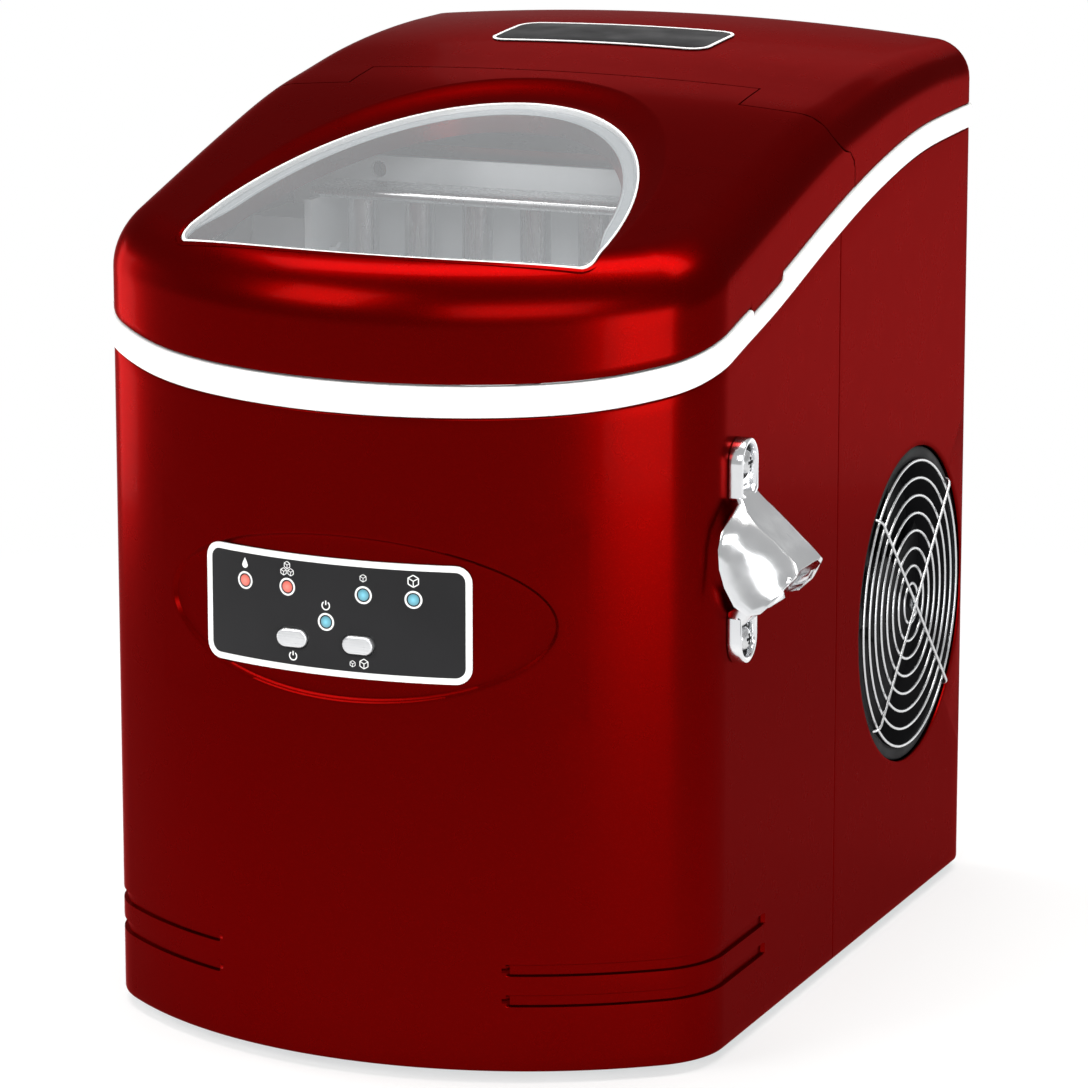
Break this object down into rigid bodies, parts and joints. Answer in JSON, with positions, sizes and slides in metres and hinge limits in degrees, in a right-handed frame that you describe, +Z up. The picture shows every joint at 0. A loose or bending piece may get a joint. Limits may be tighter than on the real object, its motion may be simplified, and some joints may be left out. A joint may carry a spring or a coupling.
{
  "type": "countertop ice maker",
  "caption": "Countertop ice maker with a hinged lid and window, control panel, bottle opener, wire fan guard and the ice tray, basket and cooling parts inside.",
  "frame": {"origin": "middle of the overall box, at the table under the feet", "axes": "+X to the side with the bottle opener and fan guard, +Y to the back, +Z up"},
  "size_m": [0.2732, 0.3552, 0.349],
  "materials": {
    "red_gloss": "deep red gloss",
    "white_gloss": "white gloss",
    "black_gloss": "black satin",
    "black_matte": "matt black",
    "clear_window": "clear moulded plastic",
    "liner_white": "satin white",
    "button_silver": "silver plated plastic",
    "red_light": "red lens",
    "blue_light": "blue lens",
    "circuit_board": "solder resist green",
    "motor_grey": "moulded grey",
    "galvanised_pan": "grey coated sheet steel",
    "compressor_black": "black enamel",
    "steel": "bright steel",
    "chrome": "polished chrome",
    "aluminium": "mill finish",
    "copper": "drawn copper tube",
    "rubber": "matt black",
    "hose_clear": "translucent silicone"
  },
  "bodies": {
    "casing": {"base_pan": "galvanised_pan", "foot_front_left": "rubber", "foot_front_right": "rubber", "foot_rear_left": "rubber", "foot_rear_right": "rubber", "front_shell": "red_gloss", "rear_shell": "red_gloss", "trim_band": "white_gloss", "rear_cover": "red_gloss", "hinge_pin_left": "steel", "hinge_pin_right": "steel", "badge_plate": "black_gloss", "panel_frame": "white_gloss", "panel_face": "black_gloss", "light_pipe_add_water": "red_light", "light_pipe_ice_full": "red_light", "light_pipe_power": "blue_light", "light_pipe_small": "blue_light", "light_pipe_large": "blue_light", "control_board": "circuit_board", "inner_tub": "liner_white", "tray_frame": "liner_white", "evaporator": "steel", "tray_motor": "motor_grey", "water_pump": "black_matte", "water_hose": "hose_clear", "compressor_grommet_front_left": "rubber", "compressor_grommet_front_right": "rubber", "compressor_grommet_rear": "rubber", "compressor": "compressor_black", "condenser": "aluminium", "suction_line": "copper", "liquid_line": "copper", "fan_duct": "black_matte", "fan_motor": "steel", "fan_guard": "steel", "power_board": "circuit_board", "cord_gland": "rubber", "bottle_opener": "chrome", "opener_screw_lower": "steel", "opener_screw_upper": "steel"},
    "lid": {"lid_shell": "red_gloss", "window_gasket": "white_gloss", "lid_window": "clear_window"},
    "on_off": {"on_off_button": "button_silver"},
    "select": {"select_button": "button_silver"},
    "fan": {"fan_blades": "black_matte"},
    "tray": {"water_tray": "liner_white"},
    "pusher": {"ice_pusher": "liner_white"},
    "basket": {"ice_basket": "liner_white"},
    "plug": {"drain_plug": "rubber"}
  },
  "joints": [
    {"name": "lid_hinge", "type": "hinge", "parent": "casing", "child": "lid", "pos_m": [-0.01285, 0.01761, 0.33206], "axis": [-1, 0, 0], "range_deg": [0, 90]},
    {"name": "on_off_press", "type": "slide", "parent": "casing", "child": "on_off", "axis": [0, 1, 0], "range_m": [0, 0.0012], "stiffness_N_per_m": 200},
    {"name": "select_press", "type": "slide", "parent": "casing", "child": "select", "axis": [0, 1, 0], "range_m": [0, 0.0012], "stiffness_N_per_m": 200},
    {"name": "fan_spin", "type": "hinge", "parent": "casing", "child": "fan", "pos_m": [0.09, 0.0976, 0.1265], "axis": [1, 0, 0], "continuous": true},
    {"name": "tray_tilt", "type": "hinge", "parent": "casing", "child": "tray", "pos_m": [-0.01285, -0.0289, 0.274], "axis": [1, 0, 0], "range_deg": [0, 72]},
    {"name": "pusher_slide", "type": "slide", "parent": "casing", "child": "pusher", "axis": [0, -1, 0], "range_m": [0, 0.045]},
    {"name": "basket_lift", "type": "slide", "parent": "casing", "child": "basket", "axis": [0, 0, 1], "range_m": [0, 0.045]},
    {"name": "drain_plug_pull", "type": "slide", "parent": "casing", "child": "plug", "axis": [-1, 0, 0], "range_m": [0, 0.015]}
  ],
  "couplings": [
    {"joint": "pusher_slide", "follows": "tray_tilt", "m_per_rad": 0.0358}
  ]
}
